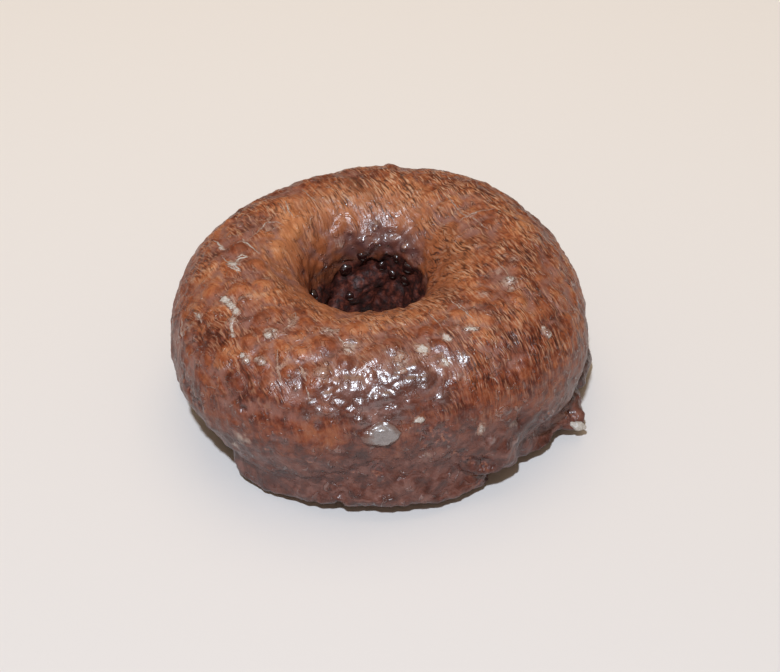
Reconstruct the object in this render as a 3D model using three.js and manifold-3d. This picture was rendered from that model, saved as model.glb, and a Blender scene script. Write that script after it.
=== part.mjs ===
// A glazed devils food doughnut: a fat ring of dark chocolate cake, fried and dipped in thin sugar glaze.
// It is one piece. The smooth side is up: a round, slightly uneven ring with an off-centre hole.
// Under it the cake burst while it fried, and left a crown of chunky petals round the foot.
// The front petal runs out into a wide sloping flange, and a hooked nub stands out at the right.
// Inside the hole the crumb is rough, with a ledge where the smooth crust breaks off.
// Millimetres, +Z up, front towards -Y, angles in degrees from +X towards +Y.
// The origin is under the middle of the doughnut, on the surface it rests on.

import * as THREE from "three";
import { mergeVertices } from "three/addons/utils/BufferGeometryUtils.js";
import { ImprovedNoise } from "three/addons/math/ImprovedNoise.js";
import Module from "manifold-3d";

const wasm = await Module();
wasm.setup();

// Driving dimensions of the ring.
const reach = 41.7; // from the middle to the widest line of the ring, on average
const wobbles = [
  // how the outline departs from a circle: waves round the ring, height, and where each one peaks
  { waves: 2, height: 2.07, peak: 23.4 },
  { waves: 3, height: 0.81, peak: -29.3 },
  { waves: 4, height: 0.81, peak: -31.7 },
];
const holeMiddle = { x: -2.5, y: 3.6 };
const holeRadius = 10.8;
const ringHalfHeight = 16.6;
const ringMiddleHeight = 17.3; // of the widest line, above the table
const roundness = 0.93; // the exponent of the section: 1 is an ellipse, less is fuller
const pinch = { angle: -151, spread: 19, below: 15, over: 8, depth: 2.4 }; // slimmer low down at the left
const ringSteps = { across: 32, around: 80 };

// The lip where the smooth crust ends, above the crown, free everywhere but over the front flange.
// It fades out to each side of the flange over a few degrees.
const lip = { height: 9.2, depth: 1.5, softness: 1.2, frontAngle: -98, frontSpread: 46, fade: 12 };

// The ledge in the hole, where the smooth crust breaks off and the rough crumb begins.
// Under it the crumb is set back, then comes in again towards the foot.
// It deepens from the section's crown, where the wall turns upright.
const ledge = { height: 22.5, softness: 1.6, upright: 0.4 };
const crumbWall = {
  topHeight: 19,
  topRadius: 12.3,
  footHeight: 8,
  footRadius: 10.0,
  apart: 4.2, // how far apart its crags are
  crags: 1.3, // how high they stand
};

// A swelling on the far wall of the hole, which drops off sharply on its right.
const swelling = { angle: 88, height: 27, rise: 5.5, out: 1.8, left: 34, right: 17 };

// Low humps all over the smooth ring: how far apart they are and how high they stand.
const humps = [
  { apart: 9, height: 0.55 },
  { apart: 5, height: 0.35 },
];

// The crown's petals, each from one angle to another, from the hole's edge out to a radius.
// out, foot (bottom height) and top are one size, or sizes at even steps along the petal.
// flare is how much further out its belt stands than its top, rough the height of its crags.
const petals = [
  { from: -137, to: -99, out: 35.6, foot: -0.6, top: 9, flare: 0, rough: 0.6 },
  { from: -101, to: -60, out: 35.4, foot: -0.6, top: 9, flare: 0, rough: 0.6 },
  { from: -63, to: -30, out: 35.8, foot: 0.6, top: 9, flare: 0, rough: 0.8 },
  { from: -33, to: -6, out: [40.0, 42.8, 43.6], foot: 2.6, top: 10.4, flare: 0.4, rough: 0.7 },
  { from: -12, to: 18, out: 43.9, foot: 2.2, top: 11.4, flare: 0.4, rough: 0.9 },
  { from: 15, to: 44, out: 42.6, foot: -0.6, top: 9.4, flare: 0.6, rough: 1.0 },
  { from: 41, to: 73, out: 40.8, foot: 1.2, top: 9.8, flare: 0.6, rough: 1.0 },
  { from: 70, to: 102, out: 39.2, foot: -0.6, top: 9.2, flare: 0.6, rough: 1.0 },
  { from: 99, to: 135, out: 41.0, foot: 0.9, top: 10.2, flare: 0.6, rough: 1.0 },
  { from: 132, to: 167, out: 42.0, foot: -0.6, top: 9.4, flare: 0.6, rough: 1.0 },
  { from: 164, to: 194, out: 43.2, foot: 2.4, top: 10.0, flare: 0.4, rough: 1.0 },
  { from: 195, to: 222, out: [40.2, 38.8, 38.2], foot: [4.0, 3.2, -0.6], top: 9.4, flare: 0.6, rough: 0.5 },
];

// What stands outside the petals at the front: the flange, then the lobe over its right end,
// and the smooth face set back beside that lobe. inner is where each starts.
const skirts = [
  {
    from: -145, to: -52.5, inner: 27, flare: 2.8, rough: 0.3, steps: 48,
    out: [40.4, 41.6, 41.0, 40.6, 40.5, 40.5, 40.5, 40.8],
    foot: [3.4, -0.2, 1.0, 2.2, 2.4, 2.0, 1.6, 1.2],
    top: [14, 16.5, 16.5, 16.5, 16.5, 15, 9.6, 6.4],
  },
  {
    from: -68, to: -44, inner: 28, flare: 0.6, rough: 0.8,
    out: [39.4, 41.0, 41.2],
    foot: [7.4, 5.6, 3.2],
    top: 20,
  },
  {
    from: -47, to: -18, inner: 28, flare: 0.6, rough: 0.3,
    out: [39.8, 40.6, 41.6],
    foot: [2.8, 2.6, 2.8],
    top: 12,
  },
];
const petalCorner = 3.4; // 2 is as round as a ball, more is squarer
const petalBelt = 0.2; // where a petal stands out furthest, as a share of its height from the foot
const flareBand = { from: 25, to: 33 }; // how far out the flare begins, and where it is full
const innerReach = 0.6; // how far the petals' inner ends stand inside the edge of the hole
const cragsApart = 4.5;
const cragHeight = 1.6; // at a roughness of 1
const petalSteps = { along: 20, over: 10 };

// A small nick in the flange's bottom edge, and a pit beside the lobe.
const nick = { angle: -101, width: 1.7, from: 36, to: 42, top: 4.3 };
const pit = { angle: -40.5, out: 40.3, height: 9.0, radius: 1.5 };

// The hooked nub at the right, which the glaze drips from.
const nub = { angle: -20.5, from: 34, out: 45.2, height: 4.3, halfWidth: 3.8, halfThickness: 2.4 };
const nubSteps = { along: 14, over: 10 };

// Lumps of crumb in the wall of the hole, in rows: how many, where the first one is,
// how high the row runs, how near the lumps come to the hole's axis, and their size.
const crumbRows = [
  { count: 5, first: 35, height: 9.0, near: 9.2, radius: 4.6 },
  { count: 5, first: 10, height: 15.5, near: 10.2, radius: 4.6 },
  { count: 1, first: 98, height: 12.5, near: 8.8, radius: 6.4 },
];
const crumbSteps = { along: 10, over: 7 };

const tableBlock = { width: 200, depth: 20 }; // cuts the foot flat where the doughnut rests
const weldDistance = 1e-4;

const noise = new ImprovedNoise();
const radians = (degrees) => (degrees * Math.PI) / 180;
const power = (value, exponent) => Math.sign(value) * Math.abs(value) ** exponent;

function smoothStep(value) {
  const t = Math.min(1, Math.max(0, value));
  return t * t * (3 - 2 * t);
}

// The turn from one angle to another the short way round, in radians.
const turnBetween = (to, from) => Math.atan2(Math.sin(to - from), Math.cos(to - from));

// How far the outline stands from the middle at an angle in radians.
function outerReach(angle) {
  return wobbles.reduce(
    (sum, { waves, height, peak }) => sum + height * Math.cos(waves * (angle - radians(peak))),
    reach,
  );
}

// How far the round hole's edge stands from the middle at an angle, as the hole is off centre.
function holeReach(angle, wide = holeRadius) {
  const along = holeMiddle.x * Math.cos(angle) + holeMiddle.y * Math.sin(angle);
  const offset = holeMiddle.x ** 2 + holeMiddle.y ** 2;
  return along + Math.sqrt(wide ** 2 - offset + along ** 2);
}

// How much slimmer the ring is low down at the left.
function pinchDepth(angle, height) {
  const away = turnBetween(angle, radians(pinch.angle)) / radians(pinch.spread);
  return pinch.depth * Math.exp(-(away ** 2)) * smoothStep((pinch.below - height) / pinch.over);
}

// 1 where the crust ends in a free lip, 0 where the front flange runs straight out of it.
function lipShare(angle) {
  const away = Math.abs(turnBetween(angle, radians(lip.frontAngle)));
  return smoothStep((away - radians(lip.frontSpread - lip.fade)) / radians(2 * lip.fade));
}

// How far the low humps lift the crust at a point.
function humpHeight(x, y, z) {
  return humps.reduce(
    (sum, { apart, height }) => sum + height * noise.noise(x / apart, y / apart, z / apart + apart),
    0,
  );
}

// How far the swelling stands into the hole, at an angle, a distance out and a height.
function swellingHeight(angle, distance, height) {
  const x = distance * Math.cos(angle) - holeMiddle.x;
  const y = distance * Math.sin(angle) - holeMiddle.y;
  const away = turnBetween(Math.atan2(y, x), radians(swelling.angle));
  const spread = radians(away > 0 ? swelling.left : swelling.right);
  const rise = (height - swelling.height) / swelling.rise;
  return swelling.out * Math.exp(-((away / spread) ** 2) - rise ** 2);
}

// The smooth ring: a torus whose points move to the real outline and section.
function ring() {
  const geometry = new THREE.TorusGeometry(2, 1, ringSteps.across, ringSteps.around);
  const point = geometry.getAttribute("position");
  for (let i = 0; i < point.count; i++) {
    const [x, y, z] = [point.getX(i), point.getY(i), point.getZ(i)];
    const angle = Math.atan2(y, x);
    const across = Math.atan2(z, Math.hypot(x, y) - 2);
    const [outward, upward] = [Math.cos(across), Math.sin(across)];
    const [outer, inner] = [outerReach(angle), holeReach(angle)];
    let radius = (outer + inner) / 2 + ((outer - inner) / 2) * power(outward, roundness);
    let height = ringMiddleHeight + ringHalfHeight * power(upward, roundness);
    const hump = humpHeight(radius * Math.cos(angle), radius * Math.sin(angle), height);
    if (outward > 0) {
      radius -= lip.depth * lipShare(angle) * smoothStep((lip.height - height) / lip.softness);
      radius -= pinchDepth(angle, height);
    } else {
      radius += outward * swellingHeight(angle, inner, height);
      const rise = (height - crumbWall.footHeight) / (crumbWall.topHeight - crumbWall.footHeight);
      const wide = crumbWall.footRadius + (crumbWall.topRadius - crumbWall.footRadius) * smoothStep(rise);
      const [cragX, cragY, cragZ] = [inner * Math.cos(angle), inner * Math.sin(angle), height];
      const crag = crumbWall.crags * noise.noise(
        cragX / crumbWall.apart,
        cragY / crumbWall.apart,
        cragZ / crumbWall.apart,
      );
      const below = smoothStep((ledge.height - height) / ledge.softness);
      const setBack = below * smoothStep(-outward / ledge.upright);
      radius += (holeReach(angle, wide) + crag - radius) * setBack;
    }
    radius += hump * outward;
    height += hump * upward;
    point.setXYZ(i, radius * Math.cos(angle), radius * Math.sin(angle), height);
  }
  return geometry;
}

// The size at a share of the way along a petal, from one size or from sizes at even steps.
function sizeAt(size, share) {
  if (!Array.isArray(size)) return size;
  const place = share * (size.length - 1);
  const before = Math.min(Math.floor(place), size.length - 2);
  return size[before] + (size[before + 1] - size[before]) * smoothStep(place - before);
}

// A petal or a skirt: a sphere squared off, then bent along the ring and roughened.
function petal({ from, to, inner, out, foot, top, flare, rough, steps }) {
  const geometry = new THREE.SphereGeometry(1, steps ?? petalSteps.along, petalSteps.over);
  geometry.rotateX(Math.PI / 2);
  const point = geometry.getAttribute("position");
  const [middle, halfSpan] = [radians((from + to) / 2), radians((to - from) / 2)];
  const norm = (a, b) => (Math.abs(a) ** petalCorner + Math.abs(b) ** petalCorner) ** (1 / petalCorner);
  for (let i = 0; i < point.count; i++) {
    const [x, y, z] = [point.getX(i), point.getY(i), point.getZ(i)];
    const flat = Math.hypot(x, y);
    const size = norm(flat, z);
    const stretch = flat / (norm(x, y) || 1) / size;
    const share = (1 + y * stretch) / 2;
    const angle = middle + halfSpan * (2 * share - 1);
    const [low, high] = [sizeAt(foot, share), sizeAt(top, share)];
    const belt = low + petalBelt * (high - low);
    const height = belt + (z / size) * (z > 0 ? high - belt : belt - low);
    const near = inner ?? holeReach(angle) - innerReach;
    const far = sizeAt(out, share);
    let radius = (far + near) / 2 + ((far - near) / 2) * x * stretch;
    const [cragX, cragY] = [radius * Math.cos(angle) / cragsApart, radius * Math.sin(angle) / cragsApart];
    const crag = rough * cragHeight * noise.noise(cragX, cragY, height / cragsApart + from);
    radius += ((far - near) / far) * crag * x * stretch * 2;
    const flaring = smoothStep((radius - flareBand.from) / (flareBand.to - flareBand.from));
    radius -= flare * Math.max(0, z / size) * flaring;
    point.setXYZ(i, radius * Math.cos(angle), radius * Math.sin(angle), height);
  }
  return geometry;
}

// The nub: a small pointed lump that leans out of the crown.
function hookedNub() {
  const geometry = new THREE.SphereGeometry(1, nubSteps.along, nubSteps.over);
  const length = (nub.out - nub.from) / 2;
  geometry.scale(length, nub.halfWidth, nub.halfThickness);
  geometry.translate((nub.out + nub.from) / 2, 0, nub.height);
  return geometry.rotateZ(radians(nub.angle));
}

// A lump of crumb in the wall of the hole, sunk so that a low bulge shows.
function crumbLump(angle, { height, near, radius }) {
  const geometry = new THREE.SphereGeometry(radius, crumbSteps.along, crumbSteps.over);
  const out = near + radius;
  geometry.translate(holeMiddle.x + out * Math.cos(angle), holeMiddle.y + out * Math.sin(angle), height);
  return geometry;
}

// The nick: a small block across the flange's edge.
function nickBlock() {
  const geometry = new THREE.BoxGeometry(nick.to - nick.from, nick.width, nick.top);
  geometry.translate((nick.to + nick.from) / 2, 0, nick.top / 2);
  return geometry.rotateZ(radians(nick.angle));
}

function pitBall() {
  const geometry = new THREE.SphereGeometry(pit.radius, crumbSteps.along, crumbSteps.over);
  return geometry.translate(pit.out, 0, pit.height).rotateZ(radians(pit.angle));
}

// A closed three.js geometry as a solid that can be joined and cut.
function solid(geometry) {
  const bare = geometry.clone();
  bare.deleteAttribute("normal");
  bare.deleteAttribute("uv");
  const merged = mergeVertices(bare, weldDistance);
  return new wasm.Manifold(new wasm.Mesh({
    numProp: 3,
    vertProperties: merged.getAttribute("position").array,
    triVerts: new Uint32Array(merged.index.array),
  }));
}

// Everything fused to one body, cut flat where it rests on the table.
function doughnutSolid() {
  let body = solid(ring());
  for (const one of [...petals, ...skirts]) body = body.add(solid(petal(one)));
  body = body.add(solid(hookedNub()));
  for (const row of crumbRows) {
    for (let i = 0; i < row.count; i++) {
      body = body.add(solid(crumbLump(radians(row.first + (360 * i) / row.count), row)));
    }
  }
  body = body.subtract(solid(nickBlock())).subtract(solid(pitBall()));
  const table = new THREE.BoxGeometry(tableBlock.width, tableBlock.width, tableBlock.depth);
  body = body.subtract(solid(table.translate(0, 0, -tableBlock.depth / 2)));
  // Pockets that the petals close off between them are filled: only the outer skin is kept.
  return body.decompose().reduce((a, b) => (a.volume() > b.volume() ? a : b));
}

function geometryOf(body) {
  const mesh = body.getMesh();
  const stride = mesh.numProp;
  const position = new Float32Array(mesh.numVert * 3);
  for (let i = 0; i < mesh.numVert; i++) {
    position.set(mesh.vertProperties.subarray(i * stride, i * stride + 3), i * 3);
  }
  const geometry = new THREE.BufferGeometry();
  geometry.setAttribute("position", new THREE.BufferAttribute(position, 3));
  geometry.setIndex(new THREE.BufferAttribute(mesh.triVerts, 1));
  geometry.computeBoundingBox();
  const { min, max } = geometry.boundingBox;
  geometry.translate(-(min.x + max.x) / 2, -(min.y + max.y) / 2, -min.z);
  geometry.computeVertexNormals();
  return geometry;
}

const glazedCake = new THREE.MeshStandardMaterial({ color: 0x8a5540, roughness: 0.35, metalness: 0 });
const doughnut = new THREE.Mesh(geometryOf(doughnutSolid()), glazedCake);
doughnut.name = "doughnut";

const part = new THREE.Group();
part.add(doughnut);

export default part;
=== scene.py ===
import math

import bmesh
import bpy
from mathutils import Euler, Matrix, Vector, noise
from mathutils.bvhtree import BVHTree
from mathutils.kdtree import KDTree


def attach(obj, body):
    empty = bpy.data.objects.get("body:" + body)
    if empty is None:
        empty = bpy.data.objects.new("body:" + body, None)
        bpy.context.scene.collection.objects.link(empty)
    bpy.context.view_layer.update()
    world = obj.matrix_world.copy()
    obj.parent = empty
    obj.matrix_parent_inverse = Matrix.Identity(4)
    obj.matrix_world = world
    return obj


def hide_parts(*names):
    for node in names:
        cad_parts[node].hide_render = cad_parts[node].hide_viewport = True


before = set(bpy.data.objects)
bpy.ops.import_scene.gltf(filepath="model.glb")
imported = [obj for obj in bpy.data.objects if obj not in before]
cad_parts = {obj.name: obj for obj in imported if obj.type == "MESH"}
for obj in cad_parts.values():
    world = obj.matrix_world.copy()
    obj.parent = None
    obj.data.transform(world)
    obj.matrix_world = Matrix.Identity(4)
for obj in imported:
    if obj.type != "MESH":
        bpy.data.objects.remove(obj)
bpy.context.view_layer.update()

mm = 0.001

# The view. The eye is a little under half a metre away and looks down at the front of the ring,
# which runs out wide towards it. Marks on the glaze are placed by where they stand in this view.
view_height = math.radians(40)
view_distance = 450 * mm
focal_pixels = 2187
picture_width, picture_height = 780, 672
aim = Vector((-0.57, -0.26, 17)) * mm
aim_pixel = (379.5, 322.4)
sensor_width = 36
nearest_seen = 10 * mm

view_turn = Euler((math.pi / 2 - view_height, 0, 0)).to_matrix()
eye = aim + view_turn @ Vector((0, 0, view_distance))
lens = bpy.data.cameras.new("view")
lens.sensor_width = sensor_width
lens.lens = focal_pixels * sensor_width / picture_width
lens.shift_x = (picture_width / 2 - aim_pixel[0]) / picture_width
lens.shift_y = (aim_pixel[1] - picture_height / 2) / picture_width
lens.clip_start = nearest_seen
camera = bpy.data.objects.new("view", lens)
camera.matrix_world = Matrix.Translation(eye) @ view_turn.to_4x4()
bpy.context.collection.objects.link(camera)
bpy.context.scene.camera = camera


def sight_line(across, down):
    """The direction from the eye through a pixel of the picture."""
    x = (across - aim_pixel[0]) / focal_pixels
    y = (aim_pixel[1] - down) / focal_pixels
    return (view_turn @ Vector((x, y, -1))).normalized()


# The cake: dark chocolate batter, piped as a ring and fried. The top is smooth browned crust, and
# underneath and in the hole it burst open into crags of dark crumb. Thin sugar glaze has run over it
# all, dried to a lilac haze low down, and stays wet-looking on the bumps.
# The seed keeps the noise, and so every bump and thread, the same in each run.
noise_seed = 5
noise.seed_set(noise_seed)
mesh_size, merge_distance = 0.525 * mm, 0.001 * mm
crust_smoothing, crown_smoothing = 22, 5
hole = Vector((-3.07, 3.34)) * mm
hole_rim, rim_fade = 15.5 * mm, 2 * mm
crumb_top, crumb_fade = 22.0 * mm, 0.8 * mm
lip_height, lip_fade = 9.6 * mm, 0.8 * mm
flange_start, flange_end, flange_fade = -142, -20, 3
skirt_heights, skirt_distances = (14 * mm, 9 * mm), (30 * mm, 34 * mm)
underneath_facings = (0.2, -0.4)


def smooth_step(low, high, value):
    t = min(1, max(0, (value - low) / (high - low)))
    return t * t * (3 - 2 * t)


def bell(t):
    return math.exp(-t * t)


cake = bpy.data.objects.new("cake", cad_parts["doughnut"].data.copy())
bpy.context.collection.objects.link(cake)
form = bmesh.new()
form.from_mesh(cake.data)
bmesh.ops.remove_doubles(form, verts=form.verts, dist=merge_distance)
form.to_mesh(cake.data)
form.free()
even = cake.modifiers.new("even", "REMESH")
even.mode = "VOXEL"
even.voxel_size = mesh_size
depsgraph = bpy.context.evaluated_depsgraph_get()
evened = bpy.data.meshes.new_from_object(cake.evaluated_get(depsgraph))
cake.modifiers.clear()
form = bmesh.new()
form.from_mesh(evened)
bpy.data.meshes.remove(evened)

# At an angle round the hole, and so many degrees to each side, the crust hangs this much deeper in.
crust_edges = [(135, 32, 4.5 * mm), (70, 34, -2.2 * mm)]
# The tears in the crust's edge, coarse and fine: their depth and their size.
edge_tears = [(2.2 * mm, 3.5 * mm), (0.8 * mm, 1.3 * mm)]


def crumb_share(place):
    """1 in the torn crumb of the hole, 0 on the crust."""
    from_hole = place.xy - hole
    if from_hole.length > hole_rim + rim_fade:
        return 0
    top = crumb_top
    for turn, spread, deeper in crust_edges:
        away = (math.degrees(math.atan2(from_hole.y, from_hole.x)) - turn + 180) % 360 - 180
        top -= deeper * bell(away / spread)
    ragged = sum(deep * noise.noise(place / size) for deep, size in edge_tears)
    below = smooth_step(top + crumb_fade, top - crumb_fade, place.z + ragged)
    return below * smooth_step(hole_rim + rim_fade, hole_rim - rim_fade, from_hole.length)


def flange_share(place):
    """1 where the front flange is, as seen from above, and 0 round the rest of the ring."""
    turn = math.degrees(math.atan2(place.y, place.x))
    past_start = smooth_step(flange_start - flange_fade, flange_start + flange_fade, turn)
    return past_start * smooth_step(flange_end + flange_fade, flange_end - flange_fade, turn)


def skirt_share(place):
    """1 low down on the front flange and the lobes beside it."""
    outside = smooth_step(*skirt_distances, place.xy.length)
    return flange_share(place) * smooth_step(*skirt_heights, place.z) * outside


def crown_share(place, facing):
    """1 on the burst petals under the lip and underneath, 0 on the smooth crust and the flange's face."""
    if (place.xy - hole).length < hole_rim:
        return 0
    low = smooth_step(lip_height + lip_fade, lip_height - lip_fade, place.z)
    return low * max(1 - flange_share(place), smooth_step(*underneath_facings, facing.z))


def smoothed(form, verts, rounds):
    for _ in range(rounds):
        bmesh.ops.smooth_vert(
            form, verts=verts, factor=0.5, use_axis_x=True, use_axis_y=True, use_axis_z=True
        )


form.normal_update()
mostly = 0.5
smooth_crust = [v for v in form.verts if max(crown_share(v.co, v.normal), crumb_share(v.co)) < mostly]
smoothed(form, smooth_crust, crust_smoothing)
smoothed(form, form.verts, crown_smoothing)
form.normal_update()
even_skin = BVHTree.FromBMesh(form)


def under_pixel(skin, across, down):
    """The place on a skin that stands at a pixel of the picture, and which way it faces."""
    place, facing, _, _ = skin.ray_cast(eye, sight_line(across, down))
    return place, facing


# What the view shows of the glaze, each with its pixel and its half width in millimetres. Humps of the
# crust, with their height in millimetres:
humps = [
    (240, 289, 2.4, 0.85), (238, 247, 2.2, 0.7), (256, 264, 2.0, 0.55), (323, 344, 2.6, 0.75),
    (306, 322, 1.7, 0.45), (357, 328, 2.3, 0.45), (426, 331, 1.6, 0.45), (457, 313, 1.6, 0.4),
    (288, 371, 1.5, 0.5), (238, 385, 1.6, 0.4), (206, 362, 1.6, 0.4), (262, 284, 1.9, 0.4),
    (300, 352, 1.8, 0.4), (345, 362, 1.8, 0.5), (392, 344, 2.0, 0.45), (415, 366, 1.4, 0.4),
    (210, 290, 2.0, 0.4), (262, 318, 1.8, 0.5), (248, 340, 1.6, 0.4), (488, 318, 1.8, 0.4),
    (243, 301, 1.0, 0.85), (270, 335, 0.9, 0.75), (245, 361, 0.8, 0.65), (261, 362, 0.8, 0.65),
    (462, 303, 0.8, 0.65), (474, 310, 0.9, 0.75), (479, 250, 0.8, 0.65), (547, 333, 1.0, 0.75),
    (510, 280, 0.9, 0.75), (444, 324, 0.8, 0.6), (458, 327, 0.8, 0.65), (216, 233, 0.8, 0.6),
    (228, 221, 0.8, 0.6), (493, 441, 0.9, 0.6), (508, 411, 0.8, 0.55), (504, 432, 1.0, 0.5),
    (515, 440, 1.1, 0.6), (506, 455, 3.0, 1.1), (470, 447, 3.0, 0.5), (478, 476, 2.4, 0.6),
    (530, 444, 2.2, 0.7), (412, 468, 3.5, 0.4), (290, 470, 3.0, 0.3), (345, 462, 3.0, 0.3),
    (441, 478, 3.0, 0.4), (376, 227, 0.9, 0.5), (377, 243, 0.9, 0.6), (361, 241, 0.8, 0.4),
    (405, 247, 1.2, 0.7), (396, 240, 0.8, 0.4), (322, 266, 0.9, 0.5), (350, 232, 0.6, 0.3),
    (516, 420, 0.8, 0.5), (517, 427, 0.8, 0.5), (326, 397, 1.1, 0.5), (346, 389, 1.1, 0.5),
    (360, 404, 1.1, 0.5), (376, 401, 1.2, 0.55), (388, 397, 1.0, 0.45), (365, 388, 0.8, 0.3),
    (399, 388, 0.9, 0.35), (425, 389, 1.0, 0.45), (441, 399, 1.0, 0.45), (412, 380, 0.8, 0.35),
    (334, 382, 0.8, 0.3), (409, 404, 0.9, 0.4), (397, 409, 0.8, 0.3), (452, 385, 0.8, 0.35),
    (351, 412, 0.8, 0.3), (295, 389, 0.6, 0.35), (310, 403, 0.7, 0.4), (306, 416, 0.7, 0.35),
]
# Where the humps stand close, with glaze in the valleys between them:
lumpy_patches = [
    (238, 275, 6.0), (225, 250, 4.0), (262, 235, 4.0), (262, 315, 5.0), (300, 335, 5.0), (345, 345, 5.5),
    (390, 340, 5.0), (430, 335, 5.0), (465, 318, 5.0), (500, 285, 4.5), (300, 375, 5.0), (270, 355, 4.0),
    (455, 208, 5.0), (480, 225, 4.0),
]
# Haze: where the glaze is thick and dried milky, and how milky.
pale_spots = [
    (235, 262, 1.6, 0.8), (221, 246, 0.9, 0.7), (246, 242, 1.4, 0.6), (228, 301, 1.6, 0.8),
    (233, 322, 1.2, 0.8), (199, 316, 1.0, 0.8), (245, 359, 1.1, 0.8), (261, 360, 1.1, 0.8),
    (270, 333, 1.5, 0.9), (279, 366, 1.2, 0.7), (291, 324, 1.1, 0.7), (328, 331, 1.7, 0.8),
    (348, 348, 1.7, 0.8), (321, 374, 1.6, 0.7), (305, 373, 1.0, 0.7), (400, 357, 1.7, 0.8),
    (423, 349, 1.5, 0.9), (446, 362, 1.1, 0.8), (447, 337, 1.2, 0.8), (470, 328, 1.4, 0.8),
    (463, 376, 1.4, 0.5), (510, 280, 1.8, 0.9), (514, 259, 1.2, 0.7), (497, 270, 1.3, 0.6),
    (484, 293, 1.6, 0.6), (546, 332, 1.2, 0.8), (561, 300, 1.2, 0.6), (481, 430, 1.2, 0.8),
    (425, 456, 1.2, 0.6), (516, 424, 1.2, 0.7), (294, 319, 1.2, 0.6), (340, 244, 1.4, 0.6),
    (183, 330, 1.6, 0.6), (270, 228, 1.6, 0.5), (440, 211, 1.2, 0.5), (240, 438, 1.6, 0.8),
    (236, 446, 1.2, 0.8), (247, 441, 1.0, 0.8), (470, 215, 1.5, 0.5),
]
# Wet places: on the crust, with pebbles in the glaze that glint, and on the far wall of the hole:
wet_patches = [
    (385, 393, 8.2), (352, 386, 5.4), (420, 380, 5.0), (326, 393, 2.2), (440, 396, 2.5), (362, 402, 4.0),
    (402, 372, 3.5), (336, 413, 1.6), (318, 411, 1.6), (306, 415, 1.4), (296, 389, 1.2), (310, 402, 1.4),
    (352, 343, 1.6), (446, 361, 1.3), (462, 358, 1.5), (424, 349, 1.3), (474, 309, 1.0), (462, 302, 0.8),
    (458, 325, 1.2), (444, 323, 1.0), (510, 279, 1.2), (270, 333, 1.1), (243, 300, 1.0), (243, 359, 0.8),
    (261, 360, 0.8), (325, 266, 1.4), (314, 294, 1.0), (479, 248, 1.0), (366, 421, 2.0), (398, 412, 3.0),
    (493, 441, 0.9), (508, 411, 0.9), (515, 440, 1.2), (304, 272, 1.2),
]
wall_patches = [
    (376, 227, 2.0), (384, 240, 3.0), (404, 246, 2.8), (362, 242, 2.2), (350, 238, 1.4), (412, 254, 2.0),
    (372, 250, 2.6), (390, 252, 2.6), (352, 253, 2.0),
]
# Bare crumbs of the cake, dark red and sparkling:
bare_patches = [
    (318, 425, 1.0), (310, 461, 0.9), (268, 451, 1.3), (377, 467, 1.7), (380, 478, 1.0), (459, 452, 1.3),
    (468, 461, 1.1), (478, 474, 1.9), (482, 465, 1.8), (243, 408, 0.8), (251, 419, 0.6), (434, 441, 2.0),
    (424, 430, 1.4), (440, 431, 1.8), (448, 439, 1.6), (284, 441, 1.1), (274, 438, 0.9), (353, 471, 0.7),
    (180, 368, 1.8), (185, 384, 2.0), (192, 396, 1.8), (201, 406, 1.6), (490, 466, 1.2), (448, 457, 0.9),
    (545, 417, 1.4), (571, 413, 1.6),
]
# Rusty places, where the crust shows orange through the haze low down:
rusty_patches = [
    (511, 441, 1.8), (462, 452, 2.2), (476, 474, 2.2), (440, 438, 2.4), (288, 438, 2.0), (262, 430, 1.8),
    (500, 404, 2.6), (478, 402, 2.6), (380, 463, 1.8), (350, 424, 2.2), (455, 425, 3.0), (540, 395, 2.4),
    (240, 415, 2.2), (576, 410, 1.2),
]
# Dents, with their depth in millimetres:
dents = [
    (545, 438, 4.8, 1.9), (554, 430, 3.0, 0.8), (521, 422, 1.8, 1.3), (532, 430, 2.4, 0.9),
    (573, 412, 1.6, 0.8), (484, 466, 2.0, 1.7), (474, 463, 1.4, 1.2), (180, 372, 2.0, 0.9),
    (186, 388, 2.0, 0.9), (198, 404, 1.6, 0.7), (243, 408, 0.7, 0.4), (268, 451, 1.2, 0.6),
    (310, 461, 0.9, 0.5), (495, 437, 1.8, 0.5), (377, 468, 1.2, 0.4), (340, 496, 0.9, 0.9),
    (318, 425, 0.8, 0.4),
]

skin_points = KDTree(len(form.verts))
for vert in form.verts:
    skin_points.insert(vert.co, vert.index)
skin_points.balance()


def marked(patches, reach, fall):
    """For every point of the skin, how strongly patches mark it, by a fall that ends at a reach.

    The fall and the reach are in half widths from the middle of a patch.
    """
    strengths = [0.0] * len(form.verts)
    for across, down, half_wide, *strength in patches:
        middle, _ = under_pixel(even_skin, across, down)
        wide = half_wide * mm
        for _, index, away in skin_points.find_range(middle, wide * reach):
            mark = fall(away / wide) * (strength[0] if strength else 1)
            strengths[index] = max(strengths[index], mark)
    return strengths


def faded(patches, edge, core):
    """The marks of patches that are full out to a core and gone at an edge, in half widths."""
    return marked(patches, edge, lambda t: smooth_step(edge, core, t))


# The glaze in the moat round a hump: how much, how far out its middle is and how far it spreads from
# there, in half widths of the hump.
moat_share, moat_middle, moat_spread = 0.7, 1.15, 0.4


def moat_round(t):
    return moat_share * smooth_step(moat_spread, 0, abs(t - moat_middle))


# Small and steep humps keep clear of glaze, and it stands round the first ones of the list.
small_hump, steep_hump, moated_humps = 1.1, 0.35, 20
clear_humps = [hump[:3] for hump in humps if hump[2] < small_hump or hump[3] > steep_hump]
dome = faded(humps, 1.3, 0)
dent = marked(dents, 1.8, bell)
on_hump = faded(clear_humps, 1.2, 0.8)
moat = marked([hump[:3] for hump in humps[:moated_humps]], 1.6, moat_round)
lumpy = faded(lumpy_patches, 1.5, 0.7)
dried_milky = faded(pale_spots, 1.9, 0.1)
wetted = marked(wet_patches, 2.2, bell)
wet_wall = marked(wall_patches, 2.2, bell)
bared = faded(bare_patches, 1.5, 0.6)
rusted = faded(rusty_patches, 1.5, 0.4)

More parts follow.
